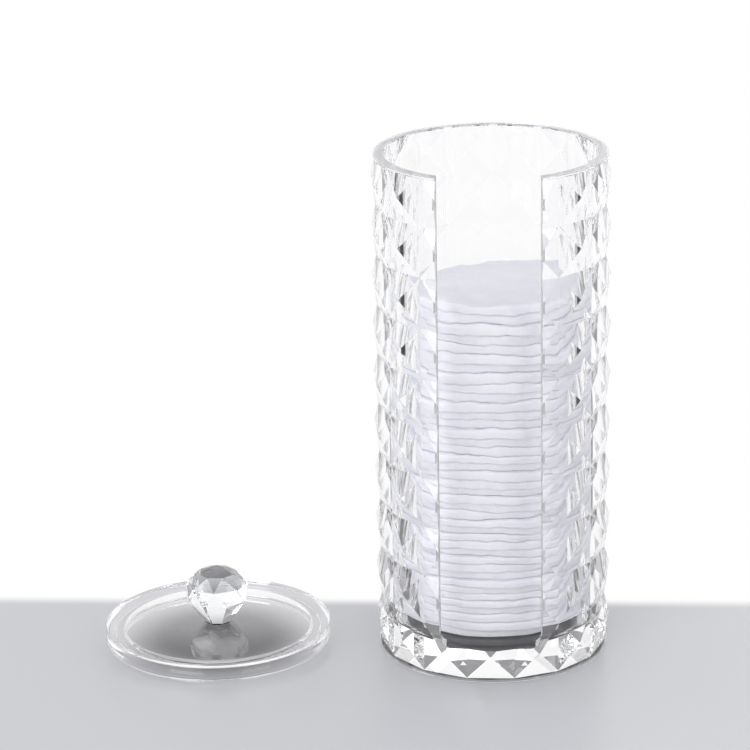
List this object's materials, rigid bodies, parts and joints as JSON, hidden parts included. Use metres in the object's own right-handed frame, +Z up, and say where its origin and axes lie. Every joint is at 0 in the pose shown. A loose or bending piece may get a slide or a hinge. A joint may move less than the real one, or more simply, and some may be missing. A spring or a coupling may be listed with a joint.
{
  "type": "cotton pad holder",
  "caption": "Clear round jar with a faceted diamond outside, an open top and a full-height front slot, filled with cotton pads, beside its flat knobbed lid.",
  "frame": {"origin": "centre of the jar's foot on the table plane", "axes": "+Z up out of the jar's mouth, -Y out of the front slot, +X to the right seen from the slot; the lid lies towards -X"},
  "size_m": [0.167, 0.0801, 0.1668],
  "materials": {
    "jar_acrylic": "clear, polished",
    "lid_acrylic": "clear, polished",
    "knob_crystal": "clear, cut and polished",
    "cotton": "soft white cotton wadding"
  },
  "bodies": {
    "jar": {"faceted_jar": "jar_acrylic"},
    "lid": {"lid_disc": "lid_acrylic", "lid_knob": "knob_crystal"},
    "pad_pile": {"cotton_pad_01": "cotton", "cotton_pad_02": "cotton", "cotton_pad_03": "cotton", "cotton_pad_04": "cotton", "cotton_pad_05": "cotton", "cotton_pad_06": "cotton", "cotton_pad_07": "cotton", "cotton_pad_08": "cotton", "cotton_pad_09": "cotton", "cotton_pad_10": "cotton", "cotton_pad_11": "cotton", "cotton_pad_12": "cotton", "cotton_pad_13": "cotton", "cotton_pad_14": "cotton", "cotton_pad_15": "cotton", "cotton_pad_16": "cotton", "cotton_pad_17": "cotton", "cotton_pad_18": "cotton", "cotton_pad_19": "cotton", "cotton_pad_20": "cotton", "cotton_pad_21": "cotton", "cotton_pad_22": "cotton", "cotton_pad_23": "cotton", "cotton_pad_24": "cotton", "cotton_pad_25": "cotton", "cotton_pad_26": "cotton", "cotton_pad_27": "cotton", "cotton_pad_28": "cotton", "cotton_pad_29": "cotton", "cotton_pad_30": "cotton", "cotton_pad_31": "cotton", "cotton_pad_32": "cotton", "cotton_pad_33": "cotton", "cotton_pad_34": "cotton", "cotton_pad_35": "cotton", "cotton_pad_36": "cotton", "cotton_pad_37": "cotton", "cotton_pad_38": "cotton", "cotton_pad_39": "cotton"},
    "top_pad": {"cotton_pad_40": "cotton"}
  },
  "joints": [
    {"name": "lid_lift", "type": "slide", "parent": "jar", "child": "lid", "axis": [0, 0, 1], "range_m": [0, 0.18]},
    {"name": "pads_lift", "type": "slide", "parent": "jar", "child": "pad_pile", "axis": [0, 0, 1], "range_m": [0, 0.16]},
    {"name": "top_pad_lift", "type": "slide", "parent": "pad_pile", "child": "top_pad", "axis": [0, 0, 1], "range_m": [0, 0.055]}
  ]
}
